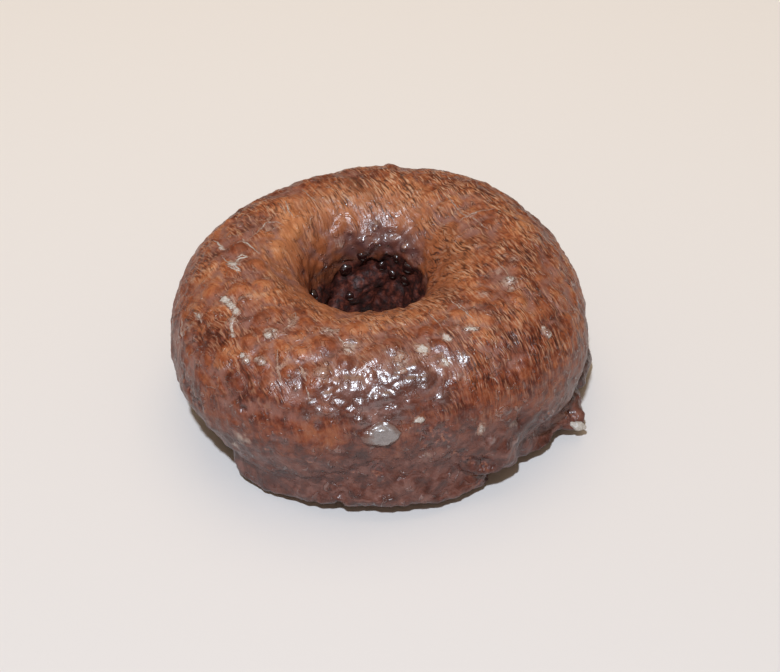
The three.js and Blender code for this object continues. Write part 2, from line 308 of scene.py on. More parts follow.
# The way the glaze drained, in which its fine wrinkles run.
comb = Vector((1.0, -1.6, 0)).normalized()
comb_side = Vector((1.6, 1.0, 0)).normalized()

# The relief of the mesh, with the size across and the height of its bumps in millimetres.
blister_size, blister_height, blister_on_lumps = 5.2, 0.10, 0.55
knob_size, knob_height = 1.35, 0.22
swell_size, swell_height = 2.6, 0.25
wrinkle_long, wrinkle_wide, wrinkle_height, wrinkled_heights = 5.5, 1.0, 0.22, (10, 22)
pebble_size, pebble_height = 2.3, 0.3
crag_size, crag_height = 3.4, 0.55
torn_size, torn_height, pit_size, pit_depth = 3.0, 0.9, 1.7, 0.4
finger_wide, finger_long, finger_height = 1.5, 5.5, 0.9
tear_wide, tear_tall, tear_height = 4.2, 4.5, 0.8
crumb_size, crumb_height = 1.1, 0.55
# Slow noise that spreads the lumpy places and bends the blisters, and shifts that keep noises apart.
patch_size, bend_size, bend_reach = 9.0, 4.0, 1.6
patch_shift, swell_shift, pit_shift = Vector((40, 0, 0)), Vector((0, 17, 0)), Vector((9, 0, 0))
# The gap tells how much nearer one blister's middle is than the next one's: nothing in a valley, most on
# top. These are the gaps between which valleys, lumps and blisters rise from none to full, and the same
# for the noise of the lumpy places and for a pebble. Blisters and pebbles sink by a share of their
# height, so that the crust keeps its level.
valley_gaps, lump_gaps, blister_gaps, patch_noise = (0.30, 0.03), (0.2, 0.6), (0.0, 0.8), (0.05, 0.35)
pebble_edges, pebble_bend, blister_sunk, pebble_sunk = (0.75, 0.1), 0.5, 0.6, 0.5
# Layered noise: how fast its layers weaken, how much finer each is and how many there are.
crag_layers, torn_layers = (0.8, 2.1, 3), (0.8, 2.1, 4)
tear_layers, crumb_layers = (1.0, 2.0, 2), (0.8, 2.0, 2)
# How much the humps and the flange's foot calm the crust's relief, and lumpy places its wrinkles.
hump_calm, skirt_calm, patch_calm = 0.75, 0.6, 0.7

mark_names = ("crumb", "crown", "valley", "pale", "wet", "wall", "lumps", "bare", "rusty")
layers = {name: form.verts.layers.float.new(name) for name in mark_names}
moves = []
for i, vert in enumerate(form.verts):
    crumb = crumb_share(vert.co)
    crown = crown_share(vert.co, vert.normal)
    skirt = skirt_share(vert.co)
    place = vert.co / mm
    bent = place + bend_reach * noise.noise_vector(place / bend_size)
    near, next_near = noise.voronoi(bent / blister_size)[0][:2]
    gap = next_near - near
    patch = smooth_step(*patch_noise, noise.noise(place / patch_size + patch_shift))
    patch = max(patch, lumpy[i]) * (1 - skirt)
    on_wall = wet_wall[i] * (1 - crumb)
    marks = (
        crumb,
        crown,
        max(moat[i], smooth_step(*valley_gaps, gap) * patch) * (1 - on_hump[i]),
        dried_milky[i],
        max(wetted[i], on_wall),
        on_wall,
        max(on_hump[i], patch * smooth_step(*lump_gaps, gap)),
        bared[i],
        rusted[i],
    )
    for name, mark in zip(mark_names, marks):
        vert[layers[name]] = mark

    # The smooth crust: blisters, knobs, a slow swell, and wrinkles along the way the glaze drained.
    domed = smooth_step(*blister_gaps, gap) - blister_sunk
    blisters = (blister_height + blister_on_lumps * patch) * domed
    knobs = knob_height * noise.noise(place / knob_size)
    swell = swell_height * noise.noise(place / swell_size + swell_shift)
    along, across, up = place.dot(comb), place.dot(comb_side), place.z
    stretched = Vector((along / wrinkle_long, across / wrinkle_wide, up / wrinkle_long))
    wrinkled = (1 - patch_calm * patch) * smooth_step(*wrinkled_heights, place.z)
    wrinkles = wrinkle_height * wrinkled * noise.noise(stretched)
    pebble_near = noise.voronoi((place + pebble_bend * noise.noise_vector(place)) / pebble_size)[0][0]
    pebbles = pebble_height * wetted[i] * (smooth_step(*pebble_edges, pebble_near) - pebble_sunk)

    # Where it burst or tore: crags on the petals, torn crumb with pits, and tears down the flange.
    crags = crag_height * noise.fractal(place / crag_size, *crag_layers)
    pits = pit_depth * max(0, noise.noise(place / pit_size + pit_shift))
    torn = torn_height * noise.fractal(place / torn_size, *torn_layers) - pits
    down_wall = Vector((place.x / finger_wide, place.y / finger_wide, place.z / finger_long))
    fingers = finger_height * noise.noise(down_wall)
    down_flange = Vector((place.x / tear_wide, place.y / tear_wide, place.z / tear_tall))
    tears = tear_height * noise.fractal(down_flange, *tear_layers)
    sparkling = crumb_height * bared[i] * noise.fractal(place / crumb_size, *crumb_layers)

    smooth = (1 - hump_calm * on_hump[i]) * (1 - skirt_calm * skirt)
    crust = smooth * (blisters + knobs + swell + wrinkles) + dome[i] - dent[i] + pebbles + on_wall * fingers
    crust = (1 - max(crumb, crown)) * (crust + skirt * tears)
    height = crust + crown * crags * (1 - crumb) + crumb * torn + sparkling
    moves.append(vert.normal * height * mm)
for vert, move in zip(form.verts, moves):
    vert.co += move
    vert.co.z = max(vert.co.z, 0)
form.normal_update()
cake_skin = BVHTree.FromBMesh(form)
form.to_mesh(cake.data)
form.free()
cake.data.shade_smooth()


def add(tree, kind, settings=None, inputs=None):
    """A node with its settings, and its inputs linked where a socket is given and set where a value is."""
    node = tree.nodes.new("ShaderNode" + kind)
    for name, value in (settings or {}).items():
        setattr(node, name, value)
    for name, value in (inputs or {}).items():
        if isinstance(value, bpy.types.NodeSocket):
            tree.links.new(value, node.inputs[name])
        else:
            node.inputs[name].default_value = value
    return node


def figure(tree, operation, a, b):
    return add(tree, "Math", {"operation": operation}, {0: a, 1: b}).outputs[0]


def times(tree, a, b):
    return figure(tree, "MULTIPLY", a, b)


def larger(tree, a, b):
    return figure(tree, "MAXIMUM", a, b)


def between(tree, value, low, high, to_low=0.0, to_high=1.0):
    """A smooth step of a value from low to high."""
    return add(
        tree,
        "MapRange",
        {"interpolation_type": "SMOOTHSTEP"},
        {"Value": value, "From Min": low, "From Max": high, "To Min": to_low, "To Max": to_high},
    ).outputs[0]


# Grain: soft noise that the cake, the curds and the drop share, each with its own size of lump.
grain_group = bpy.data.node_groups.new("grain", "ShaderNodeTree")
grain_group.interface.new_socket("Place", in_out="INPUT", socket_type="NodeSocketVector")
for socket in ("Size", "Detail", "Roughness"):
    grain_group.interface.new_socket(socket, in_out="INPUT", socket_type="NodeSocketFloat")
grain_group.interface.new_socket("Amount", in_out="OUTPUT", socket_type="NodeSocketFloat")
given = grain_group.nodes.new("NodeGroupInput").outputs
lumps_of_size = add(
    grain_group,
    "TexNoise",
    None,
    {
        "Vector": given["Place"],
        "Scale": figure(grain_group, "DIVIDE", 1.0, given["Size"]),
        "Detail": given["Detail"],
        "Roughness": given["Roughness"],
    },
)
amount = grain_group.nodes.new("NodeGroupOutput").inputs["Amount"]
grain_group.links.new(lumps_of_size.outputs["Fac"], amount)


def grain(tree, place, size, detail=2.0, roughness=0.5):
    """Noise with lumps of about a size in millimetres, on coordinates in millimetres."""
    values = {"Place": place, "Size": size, "Detail": detail, "Roughness": roughness}
    return add(tree, "Group", {"node_tree": grain_group}, values).outputs["Amount"]


def linear(value):
    """The light of a screen value from 0 to 255, by the standard curve of screens."""
    value /= 255
    return value / 12.92 if value <= 0.04045 else ((value + 0.055) / 1.055) ** 2.4


def tint(red, green, blue):
    """A colour of the screen, 0 to 255, as the shader takes it."""
    return (linear(red), linear(green), linear(blue), 1)


# The Mix node has sockets of the same names for numbers and for colours, so these go by number.
mix_share, mix_under, mix_over, mix_result = 0, 6, 7, 2


def mixed(tree, share, under, over, blend_type="MIX"):
    """A share of one colour laid over another."""
    inputs = {mix_share: share, mix_under: under, mix_over: over}
    return add(tree, "Mix", {"data_type": "RGBA", "blend_type": blend_type}, inputs).outputs[mix_result]


def colours(tree, value, stops):
    """The colour at a value, on a ramp of positions and colours."""
    node = add(tree, "ValToRGB", None, {"Fac": value})
    ramp = node.color_ramp
    while len(ramp.elements) < len(stops):
        ramp.elements.new(1)
    for element, (position, colour) in zip(ramp.elements, stops):
        element.position = position
        element.color = colour
    return node.outputs["Color"]


def swayed_by(tree, place, size, reach):
    """Coordinates pushed about by slow noise, so that what is drawn on them bends."""
    push = add(tree, "TexNoise", None, {"Vector": place, "Scale": 1 / size, "Detail": 1.0}).outputs["Color"]
    push = add(tree, "VectorMath", {"operation": "SUBTRACT"}, {0: push, 1: (0.5, 0.5, 0.5)}).outputs[0]
    push = add(tree, "VectorMath", {"operation": "SCALE"}, {0: push, "Scale": reach}).outputs[0]
    return add(tree, "VectorMath", {"operation": "ADD"}, {0: place, 1: push}).outputs[0]


def weighed(tree, *parts):
    """A sum of values, each times its weight."""
    total = times(tree, *parts[0])
    for value, weight in parts[1:]:
        total = figure(tree, "ADD", total, times(tree, value, weight))
    return total


def empty_material(name):
    """A material with no shader yet, its tree, and its place on the object in millimetres."""
    material = bpy.data.materials.new(name)
    material.use_nodes = True
    tree = material.node_tree
    tree.nodes.clear()
    on_object = add(tree, "TexCoord").outputs["Object"]
    in_mm = add(tree, "VectorMath", {"operation": "SCALE"}, {0: on_object, "Scale": 1 / mm})
    return material, tree, in_mm.outputs[0]


def surfaced(tree, values):
    """Ends a material's tree with its shader."""
    shader = add(tree, "BsdfPrincipled", None, values)
    add(tree, "OutputMaterial", None, {"Surface": shader.outputs["BSDF"]})


glazed, tree, place = empty_material("glazed_cake")
crumb, crown, valley, pale, wet, wall, lumps, bare, rusty = (
    add(tree, "Attribute", {"attribute_name": name}).outputs["Fac"] for name in mark_names
)
sides = add(tree, "SeparateXYZ", None, {0: place}).outputs
# Height above the table, with the haze's upper edge a little higher on the right.
haze_slope = 0.02
height = figure(tree, "SUBTRACT", sides["Z"], times(tree, sides["X"], haze_slope))
swayed = swayed_by(tree, swayed_by(tree, place, 9.0, 2.2), 2.6, 0.7)


def combed(long, thin):
    """Coordinates stretched along the way the glaze drained, for strokes of a length and a thickness."""
    parts = {}
    upright = Vector((0, 0, 1))
    for i, (direction, size) in enumerate(((comb, long), (comb_side, thin), (upright, long))):
        dot = add(tree, "VectorMath", {"operation": "DOT_PRODUCT"}, {0: swayed, 1: tuple(direction)})
        parts[i] = times(tree, dot.outputs["Value"], 1 / size)
    return add(tree, "CombineXYZ", None, parts).outputs[0]


# Colour of the crust: browned in blotches, redder on the humps, and with painted light that makes it lighter
# round the hole.
broad = grain(tree, place, 8.0)
middling = grain(tree, place, 2.4, 3.0, 0.6)
small = grain(tree, place, 1.0, roughness=0.6)
blotches = weighed(tree, (broad, 0.34), (middling, 0.40), (small, 0.26))
crust_tints = [
    (0.40, tint(106, 46, 27)),
    (0.47, tint(147, 74, 41)),
    (0.53, tint(178, 100, 57)),
    (0.61, tint(202, 134, 88)),
]
crust = colours(tree, blotches, crust_tints)
crust = mixed(tree, times(tree, lumps, 0.3), crust, tint(166, 84, 42))
# Painted light: the crust is painted lighter near the hole, fading out further from its middle.
flat, less_hole = (1, 1, 0), (-hole.x / mm, -hole.y / mm, 0)
off_axis = add(tree, "VectorMath", {"operation": "MULTIPLY_ADD"}, {0: place, 1: flat, 2: less_hole})
off_axis = add(tree, "VectorMath", {"operation": "LENGTH"}, {0: off_axis.outputs[0]}).outputs["Value"]
painted_light_until, painted_light_within = 25, 14
crust = mixed(tree, between(tree, off_axis, painted_light_until, painted_light_within, 0, 0.8), crust, tint(222, 150, 98))

# Fine wrinkles, all combed one way: strokes light and dark, partly the crust's own streaky colour and partly
# painted highlight on their crests and painted shade in their troughs, few on the humps and the wet places,
# and fewer on the left and low down.
left, middle_right, fibres_begin, fibres_full = -25, 8, 15, 28
painted_lit_crests, painted_shaded_troughs = (0.53, 0.66), (0.47, 0.35)
fibrous = between(tree, grain(tree, place, 5.0, 1.0), 0.36, 0.58, 0.35, 1.0)
calm = larger(tree, times(tree, lumps, 0.75), wet)
fibrous = times(tree, fibrous, figure(tree, "SUBTRACT", 1.0, calm))
fibrous = times(tree, fibrous, between(tree, sides["X"], left, middle_right, 0.75, 1.0))
fibrous = times(tree, fibrous, between(tree, height, fibres_begin, fibres_full, 0.15, 1.0))
strokes = grain(tree, combed(2.2, 0.38), 1.0, 1.0, 0.6)
streaks = grain(tree, combed(4.5, 0.9), 1.0, 2.0, 0.6)
# Each wave gets a painted highlight on its crests and painted shade in its troughs.
for wave, share, light, dark in (
    (streaks, 0.6, tint(198, 142, 102), tint(88, 40, 25)),
    (strokes, 0.85, tint(224, 182, 148), tint(64, 29, 18)),
):
    crust = mixed(tree, times(tree, fibrous, between(tree, wave, *painted_lit_crests, 0, share)), crust, light)
    crust = mixed(tree, times(tree, fibrous, between(tree, wave, *painted_shaded_troughs, 0, share)), crust, dark)
# The wet places are dark red, with lilac patches that are a painted sheen round the glints.
wet_colour_and_sheen = mixed(tree, between(tree, middling, 0.47, 0.60, 0, 0.6), tint(96, 38, 30), tint(146, 110, 112))
crust = mixed(tree, times(tree, wet, 0.9), crust, wet_colour_and_sheen)

# Lilac glaze: in the valleys between humps, in pools, and more and more of it low down, over painted shade
# that darkens the crust low down. The heights are in millimetres, and noise makes their edges ragged.
bent = swayed_by(tree, place, 3.0, 5.0)
shade_begins, shade_full, shade_weakens, shade_weakest = 43, 31, 28, 38
haze_begins, haze_full = 34, 23
pooled = between(tree, grain(tree, bent, 3.0, 3.0, 0.6), 0.56, 0.68)
gathered = times(tree, valley, between(tree, middling, 0.38, 0.58, 0.25, 0.9))
# Painted shade: the crust is darkened more and more low down on the ring, a little less on the right.
painted_low_shade = between(tree, weighed(tree, (height, 1), (broad, 8)), shade_begins, shade_full)
painted_low_shade = times(tree, painted_low_shade, between(tree, sides["X"], shade_weakens, shade_weakest, 1.0, 0.6))
crust = mixed(tree, times(tree, painted_low_shade, 0.9), crust, tint(180, 148, 138), "MULTIPLY")
skin = mixed(tree, times(tree, pooled, 0.3), crust, tint(130, 86, 76))
skin = mixed(tree, gathered, skin, tint(140, 94, 82))
skin = mixed(tree, times(tree, wall, 0.75), skin, tint(104, 68, 66))
ragged_height = weighed(tree, (height, 1), (broad, 10), (middling, 8))
low_down = between(tree, ragged_height, haze_begins, haze_full, 0, 0.85)
level = add(tree, "VectorMath", {"operation": "MULTIPLY"}, {0: bent, 1: (0.4, 0.4, 1.0)}).outputs[0]
layered = weighed(tree, (grain(tree, level, 2.0, 3.0, 0.6), 0.6), (middling, 0.4))
haze_tints = [(0.40, tint(58, 24, 19)), (0.50, tint(90, 48, 39)), (0.60, tint(120, 80, 71))]
skin = mixed(tree, low_down, skin, colours(tree, layered, haze_tints))
rust = times(tree, rusty, between(tree, middling, 0.40, 0.60, 0.05, 0.55))
skin = mixed(tree, rust, skin, tint(126, 68, 48))
ragged = weighed(tree, (small, 1.0), (strokes, 0.8))
milky = between(tree, figure(tree, "ADD", pale, ragged), 1.15, 1.9, 0, 0.75)
skin = mixed(tree, milky, skin, tint(182, 158, 144))
bare_tints = [(0.40, tint(50, 17, 14)), (0.56, tint(96, 42, 33)), (0.72, tint(156, 96, 70))]
crumbs = colours(tree, grain(tree, place, 1.0), bare_tints)
skin = mixed(tree, times(tree, bare, between(tree, small, 0.36, 0.56, 0.6, 1.0)), skin, crumbs)

# The torn crumb: nearly black chocolate, with reddish lights.
crumb_tints = [(0.36, tint(38, 10, 5)), (0.5, tint(66, 22, 14)), (0.66, tint(108, 50, 34))]
crumb_colour = colours(tree, grain(tree, place, 1.2, 3.0, 0.6), crumb_tints)
skin = mixed(tree, crown, skin, mixed(tree, 0.5, skin, crumb_colour))
skin = mixed(tree, crumb, skin, crumb_colour)

# Specks of clear glaze that glint all over the crust.
specks = between(tree, grain(tree, bent, 1.5, 1.0), 0.62, 0.70)
specks = times(tree, specks, between(tree, crumb, 0.5, 0.0))

# The relief too fine for the mesh, in millimetres: pimples, strokes, streaks, dried glaze and grain.
relief = weighed(
    tree,
    (grain(tree, bent, 0.8, 1.0), 0.06),
    (times(tree, strokes, fibrous), 0.20),
    (times(tree, streaks, fibrous), 0.14),
    (milky, 0.08),
    (times(tree, grain(tree, bent, 1.6), low_down), 0.30),
    (specks, 0.16),
    (grain(tree, place, 0.5, 1.0), figure(tree, "ADD", times(tree, wet, 0.03), 0.04)),
    (grain(tree, place, 0.28, 0.0), 0.03),
)
bump = add(tree, "Bump", None, {"Height": relief, "Distance": 1 * mm, "Strength": 1.0})

# Gloss: a dull crust, with a wet coat of glaze in patches, on the humps and all over the pebbly places.
dull = between(tree, middling, 0.4, 0.6, 0.40, 0.52)
dull = larger(tree, dull, times(tree, crumb, 0.7))
drops = between(tree, grain(tree, bent, 2.6), 0.46, 0.60, 0.05, 0.3)
coat = larger(tree, specks, drops)
for mark, gloss in ((low_down, 0.35), (lumps, 0.25), (wet, 1.5), (bare, 0.7)):
    coat = larger(tree, coat, times(tree, mark, gloss))
surfaced(
    tree,
    {
        "Base Color": skin,
        "Roughness": dull,
        "Coat Weight": times(tree, coat, between(tree, crumb, 0.0, 1.0, 1.0, 0.12)),
        "Specular IOR Level": 0.4,
        "Coat Roughness": 0.29,
        "Coat IOR": 1.8,
        "Normal": bump.outputs["Normal"],
        "Coat Normal": bump.outputs["Normal"],
    },
)
cake.data.materials.clear()
cake.data.materials.append(glazed)
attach(cake, "root")
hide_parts("doughnut")

# Curds and threads of sugar: where the glaze stood thick it set white, in soft lumps and in thin raised
# threads that cross the valleys. Each is a ball, flattened or drawn out over the cake's skin. They rise
# and sink by parts of a millimetre, and spread a little wider than the lists below say.
curd_rise, curd_sunk, curd_spread = 0.16, 0.15, 1.4
thread_rise, thread_sunk, thread_spread = 0.07, 0.12, 1.3
# In pixels: the steps that a thread's line is cut into, how far it wobbles and how long a wobble is.
thread_step, thread_wobble, wobble_size = 1.2, 1.2, 4


def moved(points, change):
    for point in points:
        point.co = change(point.co)


# Curds: pixel, half length and half width in millimetres, turn in degrees, how white.
curds = [
    (221, 247, 0.7, 0.35, -40, 0.9), (233, 264, 1.1, 0.6, -20, 0.9), (224, 299, 1.1, 0.6, -35, 1.0),
    (231, 305, 1.2, 0.7, -45, 1.0), (236, 311, 0.9, 0.6, -60, 0.9), (233, 320, 0.7, 0.5, 60, 0.7),
    (233, 335, 0.6, 0.4, -60, 0.7), (199, 316, 0.6, 0.4, -50, 0.8), (268, 336, 0.8, 0.5, -30, 0.8),
    (273, 331, 0.7, 0.4, 20, 0.8), (243, 356, 0.7, 0.5, -50, 0.8), (247, 361, 0.5, 0.4, -50, 0.8),
    (257, 359, 0.7, 0.5, -30, 0.7), (263, 363, 0.6, 0.4, -30, 0.7), (330, 330, 1.3, 0.5, 15, 0.6),
    (348, 349, 0.9, 0.5, -40, 0.6), (401, 356, 0.9, 0.7, 40, 0.5), (423, 348, 1.3, 0.8, -40, 0.9),
    (447, 337, 0.9, 0.6, -45, 0.9), (472, 328, 1.2, 0.5, 5, 1.0), (420, 420, 0.9, 0.6, 5, 1.1),
    (446, 361, 0.8, 0.4, -50, 0.9), (510, 279, 0.7, 0.6, 0, 0.9), (511, 288, 0.5, 0.9, -20, 0.5),
    (544, 328, 0.4, 0.7, -30, 0.8), (549, 335, 0.5, 0.6, -30, 0.8), (481, 429, 0.5, 1.2, 20, 0.7),
    (403, 371, 0.6, 0.4, 30, 0.6), (291, 324, 1.0, 0.3, 35, 0.6), (321, 373, 1.2, 0.8, 0, 0.3),
]
# Threads: the pixels they run through, half width in millimetres, how white.
threads = [
    ([(213, 240), (217, 242), (221, 246), (225, 250)], 0.16, 0.9),
    ([(229, 261), (234, 265), (240, 270)], 0.16, 0.9),
    ([(223, 258), (229, 263), (234, 268), (238, 274)], 0.14, 0.9),
    ([(231, 267), (236, 261), (241, 258), (248, 257)], 0.2, 1.0),
    ([(227, 266), (234, 269), (241, 272)], 0.12, 0.9), ([(236, 258), (242, 255), (247, 256)], 0.14, 0.8),
    ([(236, 243), (242, 241), (248, 244), (254, 249), (260, 254)], 0.15, 0.8),
    ([(242, 238), (247, 243), (253, 247)], 0.12, 0.8),
    ([(220, 296), (227, 302), (234, 307), (238, 313)], 0.3, 0.9),
    ([(236, 311), (233, 318), (231, 325), (233, 332), (231, 338)], 0.25, 0.8),
    ([(194, 312), (199, 316), (202, 323)], 0.2, 0.7),
    ([(283, 225), (276, 222), (267, 222), (262, 228), (257, 233), (250, 238)], 0.12, 0.6),
    ([(263, 233), (271, 230), (277, 226)], 0.1, 0.5), ([(284, 200), (288, 208), (293, 216)], 0.12, 0.7),
    ([(280, 203), (283, 209), (286, 214)], 0.1, 0.5),
    ([(277, 349), (277, 360), (278, 372), (281, 383), (285, 388)], 0.22, 0.5),
    ([(300, 365), (303, 374), (307, 381)], 0.22, 0.6), ([(306, 386), (308, 394), (310, 401)], 0.15, 0.6),
    ([(337, 336), (341, 340), (345, 345)], 0.12, 0.7),
    ([(290, 314), (296, 313), (297, 318), (292, 326)], 0.15, 0.5),
    ([(428, 312), (434, 319), (443, 329)], 0.12, 0.6),
    ([(450, 300), (459, 307), (468, 315), (474, 320)], 0.12, 0.7),
    ([(456, 301), (463, 308), (469, 313)], 0.1, 0.6), ([(301, 188), (309, 195), (317, 203)], 0.12, 0.5),
    ([(446, 195), (455, 206), (463, 214), (471, 217)], 0.18, 0.45),
    ([(459, 221), (469, 215), (478, 211), (497, 208)], 0.18, 0.5),
    ([(470, 216), (479, 223), (488, 229)], 0.16, 0.5),
    ([(496, 259), (500, 266), (507, 272), (511, 279)], 0.18, 0.4),
    ([(490, 376), (494, 379), (499, 384)], 0.1, 0.6),
    ([(456, 355), (461, 353), (464, 360), (466, 367)], 0.15, 0.5),
    ([(343, 343), (349, 342), (354, 345)], 0.12, 0.7), ([(183, 318), (181, 328), (182, 338)], 0.3, 0.4),
    ([(440, 351), (445, 359), (450, 370)], 0.15, 0.5),
]


def piece_of(form, name):
    """A piece from a finished form, its faces turned outwards and shaded smooth."""
    bmesh.ops.recalc_face_normals(form, faces=form.faces)
    mesh = bpy.data.meshes.new(name)
    form.to_mesh(mesh)
    form.free()
    mesh.shade_smooth()
    piece = bpy.data.objects.new(name, mesh)
    bpy.context.collection.objects.link(piece)
    return piece


def glassy(tree, cloud, tints, relief, depth):
    """Ends a tree as thick glaze: a colour from a ramp, a clear coat, and a relief of a depth."""
    surfaced(
        tree,
        {
            "Base Color": colours(tree, cloud, tints),
            "Roughness": 0.34,
            "Coat Weight": 1.0,
            "Coat Roughness": 0.18,
            "Normal": add(tree, "Bump", None, {"Height": relief, "Distance": depth}).outputs[0],
        },
    )


form = bmesh.new()
white_layer = form.verts.layers.float.new("white")
for across, down, half_long, half_wide, turn, white in curds:
    place, facing = under_pixel(even_skin, across, down)
    lengthways = Vector((math.cos(math.radians(turn)), math.sin(math.radians(turn)), 0))
    lengthways = (lengthways - facing * lengthways.dot(facing)).normalized()
    crossways = facing.cross(lengthways)
    made = bmesh.ops.create_icosphere(form, subdivisions=4, radius=1)["verts"]

    def settled(point):
        """A point of a ball, spread ragged over the skin as a thin curd."""
        outline = Vector((point.x, point.y, 0.3 * point.z))
        coarse = noise.noise(outline * 2.2 + place / mm)
        fine = noise.noise(outline * 5 + place / mm)
        sideways = lengthways * point.x * half_long + crossways * point.y * half_wide
        spot = place + sideways * curd_spread * (1 + 0.45 * coarse + 0.25 * fine) * mm
        skin_place, skin_facing, _, _ = cake_skin.find_nearest(spot)
        lumpy_top = 1 + 0.6 * noise.noise(outline * 3 + place / mm)
        lift = curd_rise * lumpy_top if point.z > 0 else curd_sunk
        return skin_place + skin_facing * lift * point.z * mm

    for vert in made:
        vert[white_layer] = white * max(0, vert.co.z) ** 1.6
    moved(made, settled)
for path, half_wide, white in threads:
    pixels = [Vector(path[0])]
    for start, end in zip(path, path[1:]):
        start, end = Vector(start), Vector(end)
        count = max(1, round((end - start).length / thread_step))
        pixels += [start.lerp(end, (k + 1) / count) for k in range(count)]
    line = []
    for pixel in pixels:
        wobble = noise.noise_vector(Vector((pixel.x, pixel.y, 0)) / wobble_size) * thread_wobble
        line.append(under_pixel(cake_skin, pixel.x + wobble.x, pixel.y + wobble.y))
    made = bmesh.ops.create_uvsphere(form, u_segments=8, v_segments=2 * len(line), radius=1)["verts"]

    def drawn_out(point):
        """A point of a ball, drawn out along the thread's line on the skin."""
        along = (point.z + 1) / 2 * (len(line) - 1)
        k = min(int(along), len(line) - 2)
        spot = line[k][0].lerp(line[k + 1][0], along - k)
        facing = line[k][1].lerp(line[k + 1][1], along - k).normalized()
        onward = line[min(k + 2, len(line) - 1)][0] - line[max(k - 1, 0)][0]
        aside = onward.cross(facing).normalized()
        wide = thread_spread * half_wide * (1 + 0.5 * noise.noise(spot / mm / 0.8))
        rise = thread_rise if point.y > 0 else thread_sunk
        return spot + (aside * point.x * wide + facing * point.y * rise) * mm

    for vert in made:
        vert[white_layer] = 0.85 * white * (0.6 + 0.4 * max(0, vert.co.y))
    moved(made, drawn_out)
sugar_curds = piece_of(form, "sugar_curds")
dried_sugar, tree, place = empty_material("dried_sugar")
white = add(tree, "Attribute", {"attribute_name": "white"}).outputs["Fac"]
cloud = weighed(tree, (white, 0.8), (grain(tree, place, 0.5), 0.8))
sugar_tints = [(0.4, tint(138, 84, 62)), (0.78, tint(160, 124, 108)), (1.08, tint(194, 182, 172))]
glassy(tree, cloud, sugar_tints, grain(tree, place, 0.45, 1.0), 0.35 * mm)
sugar_curds.data.materials.append(dried_sugar)
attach(sugar_curds, "root")

# The milky drop on the front: glaze that ran together and hangs there, thicker at its lower edge.
# Its half length, half width, thickness and how far it sinks in are in millimetres.
drop_pixel = (382, 435)
drop_long, drop_wide, drop_thick, drop_sunk = 4.1, 2.6, 1.2, 0.5
ridge_place, ridge_width, ridge_height = 0.55, 0.2, 0.5
drop_place, drop_facing = under_pixel(even_skin, *drop_pixel)
sideways = Vector((1, 0, 0))
uphill = drop_facing.cross(sideways).normalized()
form = bmesh.new()
bmesh.ops.create_icosphere(form, subdivisions=5, radius=1)


def hung(point):
    """A point of a ball, spread over the cake's skin as the drop lies."""
    uneven = 1 + 0.14 * noise.noise(point * 1.6)
    pointed = math.sqrt(max(0, 1 - 0.8 * point.x**2))
    spread = sideways * point.x * drop_long + uphill * point.y * pointed * drop_wide
    skin_place, skin_facing, _, _ = cake_skin.find_nearest(drop_place + spread * uneven * mm)
    ridge = ridge_height * bell((point.y - ridge_place) / ridge_width) * smooth_step(-0.8, -0.2, point.x)
    lumpy_top = 1 - 0.3 * point.y + ridge + 0.35 * noise.noise(point * 3.1)
    lift = drop_thick * point.z**1.15 * lumpy_top if point.z > 0 else drop_sunk * point.z
    return skin_place + skin_facing * lift * mm


thick_layer = form.verts.layers.float.new("thick")
for vert in form.verts:
    lower_edge = smooth_step(-0.5, -0.8, vert.co.y)
    vert[thick_layer] = max(0, vert.co.z) + 0.45 * min(0, vert.co.x) + 0.3 * lower_edge
moved(form.verts, hung)
smoothed(form, form.verts, 1)
milky_drop = piece_of(form, "milky_drop")
milky_glaze, tree, place = empty_material("milky_glaze")
thick = add(tree, "Attribute", {"attribute_name": "thick"}).outputs["Fac"]
cloud = weighed(tree, (thick, 1), (grain(tree, place, 0.9), 0.6))
milk_tints = [(0.3, tint(98, 50, 38)), (0.65, tint(114, 84, 74)), (1.1, tint(140, 129, 126))]
glassy(tree, cloud, milk_tints, grain(tree, place, 0.9, 1.0), 0.3 * mm)
milky_drop.data.materials.append(milky_glaze)
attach(milky_drop, "root")

# The drip at the tip of the nub on the right: a bead of white glaze that hangs off its lower edge.
# It bulges here and there, by places aside and above and sizes that are shares of its radius.
drip_pixel = (578, 423)
drip_radius, drip_inward, drip_below = 1.25, 0.2, 0.9
bulges = [(-0.85, 0.3, 0.6), (0.75, -0.2, 0.55), (0.25, 0.55, 0.5)]
drip_place, _ = under_pixel(even_skin, *drip_pixel)
form = bmesh.new()
bmesh.ops.create_icosphere(form, subdivisions=4, radius=1)


def dripping(point):
    """A point of a ball as the ragged drip: the ball with its bulges, drawn out to the right."""
    reach = 1
    for aside, above, size in bulges:
        bulge = Vector((aside, 0, above))
        towards = point.dot(bulge)
        inside = towards**2 - bulge.length_squared + size**2
        if inside > 0:
            reach = max(reach, towards + math.sqrt(inside))
    long = reach * Vector((1.1 * point.x, 0.9 * point.y, 0.75 * point.z - 0.2 * point.x))
    long *= 1 + 0.2 * noise.noise(point * 2.2)
    return drip_place + (long * drip_radius + Vector((0, drip_inward, -drip_below))) * mm


moved(form.verts, dripping)
glaze_drip = piece_of(form, "glaze_drip")


def plain_material(name, values):
    """A material that is the same everywhere, with these values of its shader."""
    material = bpy.data.materials.new(name)
    material.use_nodes = True
    for socket, value in values.items():
        material.node_tree.nodes["Principled BSDF"].inputs[socket].default_value = value
    return material


white_glaze = plain_material("white_glaze", {"Base Color": tint(190, 180, 170), "Roughness": 0.35})
glaze_drip.data.materials.append(white_glaze)
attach(glaze_drip, "root")

# Beads of syrup in the hole: round dark drops of glaze on the crumb, where it seeped out of the cake
# and set. Each is a ball sunk in the skin, with its pixel and its radius in millimetres.
dark_drops = [
    (381, 265, 1.5), (409, 266, 1.6), (404, 281, 1.4), (346, 270, 1.6), (314, 295, 1.1), (350, 296, 1.1),
    (393, 273, 1.0), (362, 257, 1.1), (395, 259, 1.1),
]


